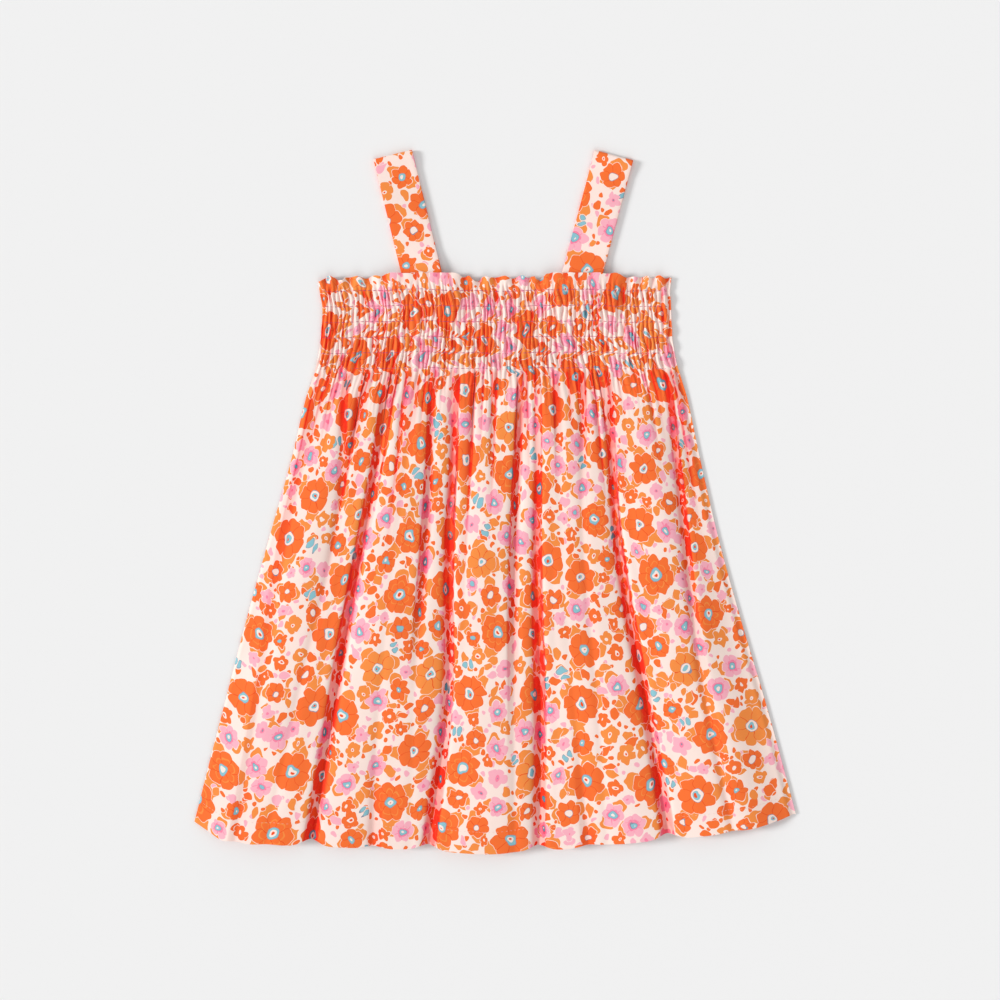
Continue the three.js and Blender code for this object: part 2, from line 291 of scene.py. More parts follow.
def from_hex(text):
    """The linear colour of an sRGB hex value."""
    channels = [int(text[i : i + 2], 16) / 255 for i in (1, 3, 5)]
    return tuple(c / 12.92 if c <= 0.04045 else ((c + 0.055) / 1.055) ** 2.4 for c in channels)


def smooth(start, end, at):
    t = np.clip((at - start) / (end - start), 0, 1)
    return t * t * (3 - 2 * t)


def read_table(rows, key, value, at):
    """A smooth curve through one column of a table, read at values of another column."""
    keys = np.array([row[key] for row in rows], float)
    values = np.array([row[value] for row in rows], float)
    i = np.clip(np.searchsorted(keys, at) - 1, 0, len(keys) - 2)
    before, after = np.maximum(i - 1, 0), np.minimum(i + 2, len(keys) - 1)
    span = keys[i + 1] - keys[i]
    t = np.clip((at - keys[i]) / span, 0, 1)
    slope_a = (values[i + 1] - values[before]) / (keys[i + 1] - keys[before]) * span
    slope_b = (values[after] - values[i]) / (keys[after] - keys[i]) * span
    t2, t3 = t * t, t * t * t
    return (
        (2 * t3 - 3 * t2 + 1) * values[i]
        + (t3 - 2 * t2 + t) * slope_a
        + (3 * t2 - 2 * t3) * values[i + 1]
        + (t3 - t2) * slope_b
    )


def along_valley(valley, column, v):
    rows = [{"v": n / 3, "value": value} for n, value in enumerate(valley[column])]
    return np.minimum(read_table(rows, "v", "value", v), 1)


def valley_share(valley, v):
    return (along_valley(valley, "at", v) + 1) / 2


def uneven(across):
    return across + sum(r["size"] * np.sin(2 * np.pi * r["waves"] * across + r["start"]) for r in UNEVEN)


def across_x(share, down):
    left = read_table(OUTLINE, "down", "left", down)
    right = read_table(OUTLINE, "down", "right", down)
    return left + (right - left) * share


def hem_down(share):
    down = read_table(HEM, "side", "down", 2 * share - 1)
    for valley in VALLEYS:
        away = across_x(share, HEM_DOWN) - across_x(valley_share(valley, 1.0), HEM_DOWN)
        down = down - HEM_NOTCH * valley["depth"][3] * np.exp(-((away / HEM_NOTCH_WIDTH) ** 2))
    return down


def to_edge(x, down):
    return np.minimum(x - across_x(0.0, down), across_x(1.0, down) - x)


def skirt_folds(share, v, down):
    """How high the front skirt stands, and for its painted shade how deep in a fold each point lies and
    where the folds close.

    The last two run from 0 to 1.
    """
    x = across_x(share, down)
    height = read_table(LIFT, "v", "height", v) * smooth(0, SIDE_ROLL, to_edge(x, down))
    inside = np.ones_like(x)
    lips, crease = np.zeros_like(x), np.zeros_like(x)
    half = BAND_HALF[0] + (BAND_HALF[1] - BAND_HALF[0]) * v
    for number, valley in enumerate(VALLEYS):
        away = x - across_x(valley_share(valley, v), down)
        depth = along_valley(valley, "depth", v)
        narrow = 1 / (1 + (away / NARROW_WIDTH) ** 2) ** 2
        broad = np.exp(-((away / BROAD_WIDTH) ** 2))
        height = height * (1 - depth * (narrow + (broad - narrow) * BROAD_SHARE))
        turned = away * valley["crisp"]
        laid_over = smooth(0.1, 0.85, depth) * (0.76 + 0.24 * np.sin(7.3 * v + 2.4 * number))
        band = smooth(-half - BAND_SOFT, -half + BAND_SOFT, turned)
        band = band * (1 - smooth(half - BAND_CRISP, half + BAND_CRISP, turned))
        inside = inside * (1 - laid_over * band)
        lip = smooth(half - BAND_CRISP, half + BAND_CRISP, turned)
        lips += LIP_HEIGHT * laid_over * lip * (1 - smooth(half + BAND_CRISP, half + LIP_REACH, turned))
        closed = laid_over * (1.3 - 0.8 * v) * (0.8 + 0.2 * np.sin(11 * v + number))
        crease = np.maximum(crease, closed * np.exp(-(((turned - half) / CREASE_WIDTH) ** 2)))
    return height + lips * smooth(0, SIDE_ROLL, to_edge(x, down)), 1 - inside, crease


def strap_bump(x, down):
    bump = np.zeros_like(x)
    for strap in STRAPS:
        away = np.abs(x - strap["foot"])
        beside = 1 - smooth(STRAP_BED["across"], STRAP_BED["across"] + STRAP_BED_FADE["across"], away)
        below = 1 - smooth(STRAP_BED["down"], STRAP_BED["down"] + STRAP_BED_FADE["down"], down)
        bump = np.maximum(bump, beside * below)
    return bump


def short_gathers(across, below):
    """Little folds of uneven length and depth under the last row of shirring.

    Gives how far they dip, and for painted shade how deep each point lies beside a crease and where the
    closed creases run.
    """
    rng = np.random.default_rng(GATHER_SEED)
    total, beside, crease = (np.zeros_like(across * below) for _ in range(3))
    for place in (np.arange(GATHERS) + rng.uniform(0.15, 0.85, GATHERS)) / GATHERS:
        strength = rng.random()
        longer = GATHER_LENGTH[1] - GATHER_LENGTH[0]
        length = GATHER_LENGTH[0] + longer * strength**2 * rng.uniform(0.6, 1)
        depth = GATHER_DEPTH[0] + (GATHER_DEPTH[1] - GATHER_DEPTH[0]) * strength
        sway = rng.uniform(-0.012, 0.012)
        side = rng.choice((-1, 1))
        away = (across - place - sway * below / GATHER_LENGTH[1]) * WAIST_WIDTH
        fading = np.exp(-((below / length) ** 2))
        narrow, broad = (np.exp(-((away / width) ** 2)) for width in GATHER_WIDTH)
        total += depth * (0.6 * narrow + 0.4 * broad) * fading
        closed = 0.25 + strength**2
        crease = np.maximum(crease, closed * np.exp(-((away / CREASE_WIDTH) ** 2)) * fading)
        turned = away * side
        band = smooth(-0.4, 0.5, turned) * (1 - smooth(1, 4.5, turned))
        beside = np.maximum(beside, min(0.1 + closed, 0.9) * band * fading)
    return total, beside, crease


def down_steps():
    """Lengths of cloth from the top edge, closer where the form is finer."""
    return np.concatenate(
        [
            np.linspace(0, FRILL, FRILL_STEPS, endpoint=False),
            np.linspace(FRILL, SHIRRING_END, STEPS_PER_ROW * (SHIRRING_ROWS - 1), endpoint=False),
            np.linspace(SHIRRING_END, GATHER_END, GATHER_STEPS, endpoint=False),
            np.linspace(GATHER_END, PANEL_LENGTH, SKIRT_STEPS + 1),
        ]
    )


def frill_phase(across):
    return 2 * np.pi * FRILL_WAVES * across + FRILL_WANDER * np.sin(2 * np.pi * FRILL_WANDER_WAVES * across)


def row_wave(across):
    """Shirring rows wander a little up and down."""
    return 0.5 * np.sin(2 * np.pi * 2.3 * across + 0.6) + 0.25 * np.sin(2 * np.pi * 6.1 * across)


def pinched(across, length):
    """Fine creases of uneven place and length between the rows: how deep each point lies in one."""
    rng = np.random.default_rng(PINCH_SEED)
    deep = np.zeros_like(across * length)
    for row in range(SHIRRING_ROWS - 1):
        for place in rng.random(PINCHES):
            middle = FRILL + (row + rng.uniform(0.25, 0.75)) * ROW_SPACING
            reach = ROW_SPACING * rng.uniform(0.3, 0.6)
            away = (across - place + rng.uniform(-0.0002, 0.0002) * (length - middle)) * BODICE_WIDTH
            crease = np.exp(-((away / PINCH_WIDTH) ** 2) - ((length - middle) / reach) ** 4)
            deep = np.maximum(deep, rng.uniform(0.5, 1) * crease)
    return deep


def rib_profile(across, length):
    """Ribs of uneven height that lean a little from side to side between the rows."""
    rng = np.random.default_rng(RIB_SEED)
    tall = rng.uniform(*RIB_TALL, RIBS + 1)
    row = np.floor((length - FRILL) / ROW_SPACING)
    sway = 0.16 * np.sin(2 * np.pi * (13 * across + length / 31))
    sway = sway + 0.1 * np.sin(2 * np.pi * (29 * across - length / 17))
    bow = np.sin(np.pi * (length - FRILL) / ROW_SPACING) ** 2
    sway = sway + 0.1 * np.sin(2 * np.pi * 7 * across + 2.1 * row) * bow
    place = RIBS * across + sway
    rib = (0.5 + 0.5 * np.cos(2 * np.pi * place)) ** 0.65
    return rib, tall[np.clip(np.round(place).astype(int), 0, RIBS)]


def down_of(across, length):
    """How far below the top edge line a point of the cloth lies, from its length along the cloth."""
    share = uneven(across)
    v = np.clip((length - SHIRRING_END) / (PANEL_LENGTH - SHIRRING_END), 0, 1)
    down = np.where(length > SHIRRING_END, SHIRRING_END + (hem_down(share) - SHIRRING_END) * v, length)
    uneven_waves = 0.6 + 0.4 * np.sin(2 * np.pi * 7.3 * across + 1)
    edge = EDGE_DIP - EDGE_WAVE * np.sin(frill_phase(across) + 0.8) * uneven_waves
    edge = edge + EDGE_NOTCH * smooth(0.8, 1, np.sin(2 * np.pi * 5.3 * across + 5.5))
    edge = edge + CORNER_DIP * (1 - smooth(0.004, 0.022, across))
    before = strap_bump(across_x(share, 0.0), np.zeros_like(across))
    edge = edge * (1 - 0.8 * before) - 1.4 * before
    return np.where(length < FRILL, edge + (FRILL - edge) * length / FRILL, down), share, v


def shirring(across, length, height):
    """How high ribs and frill stand above the cloth's rest, how deep each groove's painted shade is, and
    the pinches.
    """
    rib, tall = rib_profile(across, length)
    below = np.maximum(length - SHIRRING_END, 0)
    between = np.abs(np.sin(np.pi * (length - FRILL - row_wave(across)) / ROW_SPACING))
    puff = 0.28 + 0.72 * between**0.8
    in_rows = height * rib * tall * puff
    fading = height * rib * tall * (0.28 + 0.5 * smooth(0, 6, below)) * np.exp(-below / RIB_FADE)
    wave = 0.5 + 0.5 * np.sin(frill_phase(across))
    frill_share = np.clip(1 - length / FRILL, 0, 1)
    flat = 1 - 0.85 * strap_bump(across_x(uneven(across), 0.0), np.zeros_like(across))
    frilled = in_rows * (1 - frill_share) ** 2.5 + FRILL_LIFT * wave * flat * frill_share**0.8
    up = np.where(length < FRILL, frilled, np.where(length > SHIRRING_END, fading, in_rows))
    fade = np.where(length > SHIRRING_END, np.exp(-below / GROOVE_FADE), (1 - frill_share) ** 2)
    groove = GROOVE_SHADE * smooth(0.4, 0.95, 1 - rib) * fade
    groove = np.maximum(groove, FRILL_SHADE * smooth(0.55, 1, 1 - wave) * frill_share)
    pinch = pinched(across, length)
    return up - np.minimum(PINCH_DEPTH * pinch, 0.6 * up), groove, pinch


def front_surface(across, length, sizes):
    """The front's upper face in millimetres, with each point's painted shade.

    The painted shade goes up to 1 where the cloth turns into a fold, to 2 where it lies over itself, and to
    3 in a crease that has closed.
    """
    down, share, v = down_of(across, length)
    x = across_x(share, down)
    below = np.maximum(length - SHIRRING_END, 0)
    folds, inside, closed = skirt_folds(share, v, down)
    folds = folds * smooth(0, FOLD_START, below) * sizes.fold_height
    up, groove, pinch = shirring(across, length, sizes.rib_height / MM)
    starting = smooth(-2, 4, below) * (length > SHIRRING_END)
    gathers, beside, crease = (part * starting for part in short_gathers(across, below))
    raised = 2 * (WALL + GAP) * strap_bump(x, down)
    rolled = SIDE_DROP * (1 - smooth(0, SIDE_TURN, to_edge(x, down)))
    billow = BILLOW * np.sin(2 * np.pi * (3.1 * across + length / 170)) * np.sin(length / 37 + 1)
    billow = billow * smooth(20, 90, below)
    folds = folds * (1 + 0.25 * billow) + 0.4 * billow * smooth(3, 5, folds)
    z = FRONT_REST + raised + folds + up - np.minimum(gathers, 0.75 * folds + 0.3) - rolled
    inside = inside * smooth(0, 10, below)
    shade = 1 - (1 - inside) * (1 - groove) * (1 - beside) + inside**1.5
    crease = np.maximum(np.maximum(crease, closed * smooth(0, 10, below)), 0.8 * pinch)
    return x, TOP_EDGE_Y - down, z, np.maximum(shade, CREASE_SHADE * np.minimum(crease, 1))


def back_surface(across, length, sizes):
    """The back's lower face: its crests rest on the surface, and its grooves and folds go up from it."""
    down, share, v = down_of(across, length)
    down = down - BACK_INSET * v + BACK_INSET * (1 - np.clip(length / FRILL, 0, 1))
    inset = BACK_INSET / BODICE_WIDTH
    share = inset + (1 - 2 * inset) * share
    x = across_x(share, down)
    below = np.maximum(length - SHIRRING_END, 0)
    folds = skirt_folds(share, v, down)[0]
    lifted = np.maximum(folds - FOLD_CLEAR, 0) * smooth(0, FOLD_START, below)
    height = 0.6 * sizes.rib_height / MM
    groove = shirring(across, length, height)[1]
    ribs = height * groove * np.where(length < FRILL, length / FRILL, 1)
    gathers = np.minimum(short_gathers(1 - across, below)[0] * smooth(-2, 5, below), 0.7)
    gathers = gathers * (length > SHIRRING_END)
    rolled = 0.35 * (1 - smooth(0, SIDE_TURN, to_edge(x, down)))
    z = lifted + ribs + gathers + rolled
    # Painted shade in the grooves between ribs, along the gathers and where the back's folds lift
    shade = 1 - (1 - 0.7 * groove) * (1 - 0.5 * gathers) * (1 - 0.25 * smooth(0, 1.5, lifted))
    return x, TOP_EDGE_Y - down, z, shade


def cloth_grid(name, columns, rows, surface):
    """A grid moved to a surface, with its flat cut as a UV map and its painted fold shade as an attribute.
    """
    bpy.ops.object.select_all(action="DESELECT")
    bpy.ops.mesh.primitive_grid_add(x_subdivisions=columns, y_subdivisions=len(rows) - 1, size=2)
    piece = bpy.context.object
    piece.name = piece.data.name = name
    mesh = piece.data
    flat = np.empty(len(mesh.vertices) * 3)
    mesh.vertices.foreach_get("co", flat)
    flat = flat.reshape(-1, 3)
    column = np.rint((flat[:, 0] + 1) / 2 * columns).astype(int)
    row = np.rint((1 - flat[:, 1]) / 2 * (len(rows) - 1)).astype(int)
    across, length = np.meshgrid(np.arange(columns + 1) / columns, rows)
    x, y, z, shade, u, v = surface(across, length)
    placed = np.stack([x, y, z], axis=-1)[row, column] * MM
    mesh.vertices.foreach_set("co", placed.ravel())
    corner = np.empty(len(mesh.loops), np.int32)
    mesh.loops.foreach_get("vertex_index", corner)
    cut = np.stack([u, v], axis=-1)[row, column] * MM
    while mesh.uv_layers:
        mesh.uv_layers.remove(mesh.uv_layers[0])
    layer = mesh.uv_layers.new(name=CUT_MAP)
    layer.data.foreach_set("uv", cut[corner].ravel())
    deep = mesh.attributes.new(FOLD_SHADE, "FLOAT", "POINT")
    deep.data.foreach_set("value", np.broadcast_to(shade, x.shape)[row, column].astype(np.float32))
    mesh.update()
    return piece


def laid_cut(x, z, shade, length):
    """Where each point was on the flat cloth across its width: more of it is taken up in ribs and folds."""
    hidden = np.where(length > SHIRRING_END + 20, HIDDEN_IN_FOLDS, HIDDEN_IN_RIBS)
    shade = np.minimum(shade, 1)
    step = np.hypot(np.diff(x, axis=1), np.diff(z, axis=1))
    step = step * (1 + hidden[:, 1:] * (shade[:, 1:] + shade[:, :-1]) / 2)
    run = np.concatenate([np.zeros((len(x), 1)), np.cumsum(step, axis=1)], axis=1)
    width = PANEL_TOP + (PANEL_HEM - PANEL_TOP) * length / PANEL_LENGTH
    return (run / run[:, -1:] - 0.5) * width


def finish_cloth(piece, thickness, offset, material, node):
    """Gives the sheet its thickness, smooth shading and material, and puts it in its node's place."""
    solid = piece.modifiers.new("thickness", "SOLIDIFY")
    solid.thickness = thickness
    solid.offset = offset
    bpy.ops.object.modifier_apply(modifier=solid.name)
    bpy.ops.object.shade_smooth_by_angle(angle=math.radians(PANEL_SMOOTH))
    piece.data.materials.append(material)
    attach(piece, "root")
    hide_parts(node)
    return piece


def put(tree, kind, inputs, out=0, **settings):
    """Adds a node, sets or links its inputs, and gives back one output, or the node if out is None."""
    node = tree.nodes.new("ShaderNode" + kind)
    for name, value in settings.items():
        setattr(node, name, value)
    pairs = inputs.items() if isinstance(inputs, dict) else enumerate(inputs)
    for key, value in pairs:
        if isinstance(value, bpy.types.NodeSocket):
            tree.links.new(value, node.inputs[key])
        elif value is not None:
            node.inputs[key].default_value = value
    return node if out is None else node.outputs[out]


def blank_material(name):
    material = bpy.data.materials.new(name)
    material.use_nodes = True
    material.node_tree.nodes.clear()
    return material, material.node_tree


def calc(tree, operation, *values):
    """One sum of numbers or linked values."""
    return put(tree, "Math", values, operation=operation)


def mixed(tree, share, first, second, blend="MIX"):
    """Two colours mixed by a share, or blended in another way."""
    return put(tree, "Mix", {0: share, 6: first, 7: second}, out=2, data_type="RGBA", blend_type=blend)


def chart(tree, place, layer, back=False):
    """Moves points between the cloth and one layer's own grid, which is turned and shifted."""
    turn = math.radians(layer["turn"])
    settings = {"Vector": place, "Location": (*layer["shift"], 0), "Rotation": (0, 0, turn)}
    return put(tree, "Mapping", settings, vector_type="TEXTURE" if back else "POINT")


def nearest(tree, place, layer):
    """The nearest motif of a layer: its distance, its random colour and its centre on the layer's grid."""
    settings = {"Vector": place, "Scale": 1 / layer["cell"], "Randomness": PRINT_JITTER}
    return put(tree, "TexVoronoi", settings, out=None, voronoi_dimensions="2D").outputs


def own_size(tree, layer, colour):
    least = layer["size"] * (1 - layer["spread"])
    return calc(tree, "MULTIPLY_ADD", colour, layer["size"] - least, least)


def fitted_size(tree, spot, layer, larger):
    """A motif's size where the larger layers' motifs leave it room, and far below 0 where they don't."""
    size = own_size(tree, layer, spot["Color"])
    centre = chart(tree, spot["Position"], layer, back=True)
    for number, upper in enumerate(larger):
        beside = nearest(tree, chart(tree, centre, upper), upper)
        far = calc(tree, "MULTIPLY_ADD", beside["Distance"], upper["cell"], -PRINT_GAP)
        taken = fitted_size(tree, beside, upper, larger[:number])
        room = calc(tree, "SUBTRACT", far, taken)
        size = calc(tree, "MINIMUM", size, room)
    if not larger:
        return size
    kept = calc(tree, "GREATER_THAN", size, layer["least"])
    raised = calc(tree, "ADD", size, FAR_OUTSIDE)
    return calc(tree, "MULTIPLY_ADD", kept, raised, -FAR_OUTSIDE)


def scattered(tree, place, layer, larger):
    """One layer of motifs, each with a random turn and as large as the larger layers leave room for."""
    moved = chart(tree, place, layer)
    spot = nearest(tree, moved, layer)
    chance = put(tree, "SeparateColor", [spot["Color"]], out=None).outputs
    size = fitted_size(tree, spot, layer, larger)
    turn = calc(tree, "MULTIPLY", chance[1], 40.0)
    local = put(tree, "VectorMath", [moved, spot["Position"]], operation="SUBTRACT")
    local = put(tree, "VectorRotate", {"Vector": local, "Angle": turn}, rotation_type="Z_AXIS")
    axes = put(tree, "SeparateXYZ", [local], out=None).outputs
    return {
        "x": axes[0],
        "y": axes[1],
        "radius": put(tree, "VectorMath", [local], out="Value", operation="LENGTH"),
        "angle": calc(tree, "ARCTAN2", axes[1], axes[0]),
        "size": size,
        "chance": chance[2],
    }


def petals(tree, motif, share, count, notch, sharp=0.55):
    """How far inside a blossom's outline a point lies, in millimetres, below 0 outside."""
    half = calc(tree, "MULTIPLY", motif["angle"], count / 2)
    lobe = calc(tree, "ABSOLUTE", calc(tree, "COSINE", half))
    lobe = calc(tree, "POWER", lobe, sharp)
    reach = calc(tree, "MULTIPLY_ADD", lobe, notch * share, (1 - notch) * share)
    reach = calc(tree, "MULTIPLY", reach, motif["size"])
    return calc(tree, "SUBTRACT", reach, motif["radius"])


def petal_lines(tree, motif, share, count, wide):
    """Thin lines that run out from the eye to the notches between petals."""
    half = calc(tree, "MULTIPLY", motif["angle"], count / 2)
    beside = calc(tree, "ABSOLUTE", calc(tree, "COSINE", half))
    beside = calc(tree, "MULTIPLY", beside, motif["radius"])
    line = calc(tree, "MULTIPLY_ADD", beside, -2 / count, wide / 2)
    return calc(tree, "MINIMUM", line, disc(tree, motif, share))


def disc(tree, motif, share):
    reach = calc(tree, "MULTIPLY", motif["size"], share)
    return calc(tree, "SUBTRACT", reach, motif["radius"])


def leaf(tree, motif, wide):
    """A leaf with pointed ends, along the motif's own X."""
    square = calc(tree, "MULTIPLY", motif["x"], motif["x"])
    square = calc(tree, "DIVIDE", square, motif["size"])
    swell = calc(tree, "SUBTRACT", motif["size"], square)
    side = calc(tree, "ABSOLUTE", motif["y"])
    half = calc(tree, "MULTIPLY", swell, wide)
    return calc(tree, "SUBTRACT", half, side)


def twin_pods(tree, motif):
    """Two short pods side by side."""
    side = calc(tree, "ABSOLUTE", motif["y"])
    apart = calc(tree, "MULTIPLY", motif["size"], 0.45)
    side = calc(tree, "SUBTRACT", side, apart)
    along = calc(tree, "MULTIPLY", motif["x"], 0.55)
    place = put(tree, "CombineXYZ", [along, side, 0.0])
    far = put(tree, "VectorMath", [place], out="Value", operation="LENGTH")
    reach = calc(tree, "MULTIPLY", motif["size"], 0.37)
    return calc(tree, "SUBTRACT", reach, far)


def over(tree, below, inside, colour, level=0.0):
    """Lays a colour over what is below wherever a point is further inside than a level."""
    mask = calc(tree, "GREATER_THAN", inside, level)
    return mixed(tree, mask, below, colour)


def only_if(tree, inside, motif, low, high):
    """Keeps a motif only where its chance lies between two values."""
    kept = calc(tree, "COMPARE", motif["chance"], (low + high) / 2, (high - low) / 2)
    shift = calc(tree, "MULTIPLY_ADD", kept, FAR_OUTSIDE, -FAR_OUTSIDE)
    return calc(tree, "ADD", inside, shift)


def choice(tree, motif, kind, low, high):
    """One colour for motifs whose chance is below that of a kind, and another for the rest."""
    above = calc(tree, "GREATER_THAN", motif["chance"], FROM[kind])
    return mixed(tree, above, low, high)


def joined(tree, *insides):
    """The outline round several shapes together."""
    whole = insides[0]
    for inside in insides[1:]:
        whole = calc(tree, "MAXIMUM", whole, inside)
    return whole


def kept_clear(tree, inside, others):
    """Trims a shape so that it stays a thin gap away from the shapes printed over it."""
    outside = calc(tree, "MULTIPLY_ADD", others, -1.0, -PRINT_GAP)
    return calc(tree, "MINIMUM", inside, outside)


def floral_print(tree, colours):
    """A scattered print of simple blossoms, leaves and berries, drawn in millimetres on the flat cloth."""
    ground, orange, flame, amber = colours["ground"], colours["orange"], colours["flame"], colours["amber"]
    pink, rose, teal, slate = colours["pink"], colours["rose"], colours["teal"], colours["slate"]
    cut = put(tree, "UVMap", [], uv_map=CUT_MAP)
    place = put(tree, "VectorMath", {0: cut, "Scale": 1000.0}, operation="SCALE")
    # A hand-drawn line: outlines wander by about a millimetre
    settings = {"Vector": place, "Scale": 0.17, "Detail": 0.0}
    hand = put(tree, "TexNoise", settings, out="Color", noise_dimensions="2D")
    hand = put(tree, "VectorMath", [hand, (0.5, 0.5, 0.5)], operation="SUBTRACT")
    hand = put(tree, "VectorMath", {0: hand, "Scale": HAND_DRAWN}, operation="SCALE")
    place = put(tree, "VectorMath", [place, hand], operation="ADD")
    large, middle, second, small, sprig, berry = (
        scattered(tree, place, layer, PRINT[: layer["clear_of"]]) for layer in PRINT
    )

    crown = petals(tree, large, 0.95, LARGE_PETALS, 0.2)
    bloom = petals(tree, middle, 0.97, MIDDLE_PETALS, 0.24)
    flower = petals(tree, second, 1.0, 5, 0.3)
    blade = only_if(tree, leaf(tree, small, 0.6), small, 0.0, FROM["bud"])
    bud = only_if(tree, petals(tree, small, 0.95, 5, 0.34), small, FROM["bud"], FROM["pods"])
    pods = only_if(tree, twin_pods(tree, small), small, FROM["pods"], 1.0)
    filled = joined(tree, flower, blade, bud, pods)
    leaves = kept_clear(tree, leaf(tree, sprig, 0.64), filled)
    filled = joined(tree, filled, leaves)
    berries = kept_clear(tree, disc(tree, berry, 1.0), filled)
    filled = joined(tree, filled, berries, crown, bloom)
    tips = kept_clear(tree, petals(tree, large, 1.34, 3, 0.62, 2.5), filled)
    bracts = kept_clear(tree, petals(tree, middle, 1.42, 2, 0.6, 3.0), filled)

    made = over(tree, ground, berries, choice(tree, berry, "pink berry", orange, pink))
    colour = choice(tree, sprig, "orange sprig", amber, orange)
    made = over(tree, made, leaves, choice(tree, sprig, "pink sprig", colour, pink))

    made = over(tree, made, blade, choice(tree, small, "orange leaf", amber, orange))
    made = over(tree, made, bud, choice(tree, small, "pink bud", orange, pink))
    made = over(tree, made, pods, slate)
    made = over(tree, made, pods, teal, 0.25)
    eye = only_if(tree, disc(tree, small, 0.22), small, FROM["bud"], FROM["pods"])
    made = over(tree, made, eye, choice(tree, small, "pink bud", ground, rose))

    colour = choice(tree, second, "second orange", amber, orange)
    colour = choice(tree, second, "second pink", colour, pink)
    made = over(tree, made, flower, colour)
    eye = disc(tree, second, 0.28)
    made = over(tree, made, eye, choice(tree, second, "second pink", ground, rose))
    eye = disc(tree, second, 0.14)
    made = over(tree, made, eye, choice(tree, second, "second pink", flame, slate))

    made = over(tree, made, bracts, amber)
    made = over(tree, made, bloom, choice(tree, middle, "middle pink", orange, pink))
    inner = petals(tree, middle, 0.5, MIDDLE_PETALS, 0.35)
    made = over(tree, made, inner, choice(tree, middle, "middle pink", orange, rose))
    lines = petal_lines(tree, middle, 0.72, MIDDLE_PETALS, 0.4)
    made = over(tree, made, lines, choice(tree, middle, "middle pink", flame, rose))
    made = over(tree, made, disc(tree, middle, 0.32), slate)
    eye = disc(tree, middle, 0.28)
    made = over(tree, made, eye, choice(tree, middle, "middle teal eye", ground, teal))
    made = over(tree, made, disc(tree, middle, 0.12), ground)

    made = over(tree, made, tips, amber)
    main = choice(tree, large, "large orange", amber, orange)
    made = over(tree, made, crown, main)
    ring = only_if(tree, petals(tree, large, 0.62, LARGE_PETALS, 0.3), large, FROM["large ring"], 1.0)
    made = over(tree, made, ring, amber)
    made = over(tree, made, petals(tree, large, 0.57, LARGE_PETALS, 0.3), main)
    made = over(tree, made, petal_lines(tree, large, 0.74, LARGE_PETALS, 0.45), flame)
    made = over(tree, made, disc(tree, large, 0.3), slate)
    eye = disc(tree, large, 0.275)
    made = over(tree, made, eye, choice(tree, large, "large teal eye", ground, teal))
    eye = disc(tree, large, 0.17)
    made = over(tree, made, eye, choice(tree, large, "large teal eye", teal, ground))
    made = over(tree, made, disc(tree, large, 0.08), flame)
    return made, place


# Light plain-weave cotton, screen printed and washed soft: matt, with a faint bloom of fibre ends
# at grazing angles and a weave that only shows up close.
def printed_cotton(colours):
    material, tree = blank_material("washed plain-weave cotton, floral print")
    print_, place = floral_print(tree, colours)

    # Painted shade: in a fold the print is multiplied by itself and a red tint, for light passing from wall
    # to wall, which makes each dye look deeper and redder. Where the cloth lies over itself, a blotchy red
    # is multiplied in as painted light shown through from the layer under it, and a closed crease is
    # painted dark.
    depth = put(tree, "Attribute", [], out="Fac", attribute_name=FOLD_SHADE)
    deep = put(tree, "Math", [depth, 1.0], operation="MULTIPLY", use_clamp=True)
    laid_over = put(tree, "Math", [depth, -1.0], operation="ADD", use_clamp=True)
    closed = put(tree, "Math", [depth, -2.0], operation="ADD", use_clamp=True)
    fold_shaded_print = mixed(tree, 1.0, print_, print_, "MULTIPLY")
    fold_shaded_print = mixed(tree, 1.0, fold_shaded_print, PAINTED_FOLD_SHADE_TINT, "MULTIPLY")
    folded = mixed(tree, deep, print_, fold_shaded_print)
    blotch = put(tree, "TexNoise", {"Vector": place, "Scale": 0.1, "Detail": 0.0}, noise_dimensions="2D")
    blotch = put(tree, "MapRange", [blotch, 0.42, 0.5, 0.0, 1.0])
    painted_show_through = mixed(tree, blotch, PAINTED_SHOW_THROUGH_BARE, PAINTED_SHOW_THROUGH_PRINT)
    print_with_painted_show_through = mixed(tree, 1.0, print_, painted_show_through, "MULTIPLY")
    folded = mixed(tree, laid_over, folded, print_with_painted_show_through)
    folded = mixed(tree, closed, folded, PAINTED_CREASE_SHADOW, "MULTIPLY")
    cloudy = put(tree, "TexNoise", {"Vector": place, "Scale": 0.02, "Detail": 3.0}, noise_dimensions="2D")
    cloudy = put(tree, "MapRange", [cloudy, 0.3, 0.7, 0.92, 0.98])
    colour = mixed(tree, 1.0, folded, cloudy, "MULTIPLY")

    # Threads 0.36 mm apart each way
    across, down = (
        put(tree, "TexWave", {"Vector": place, "Scale": 0.873}, out=1, bands_direction=way) for way in "XY"
    )
    weave = calc(tree, "MULTIPLY", across, down)
    bump = put(tree, "Bump", {"Strength": 0.25, "Distance": 0.00006, "Height": weave})
    shader = put(
        tree,
        "BsdfPrincipled",
        {
            "Base Color": colour,
            "Roughness": 0.88,
            "IOR": 1.5,
            "Specular IOR Level": 0.25,
            "Sheen Weight": 0.12,
            "Sheen Roughness": 0.5,
            "Normal": bump,
        },
    )
    put(tree, "OutputMaterial", [shader], out=None)
    return material


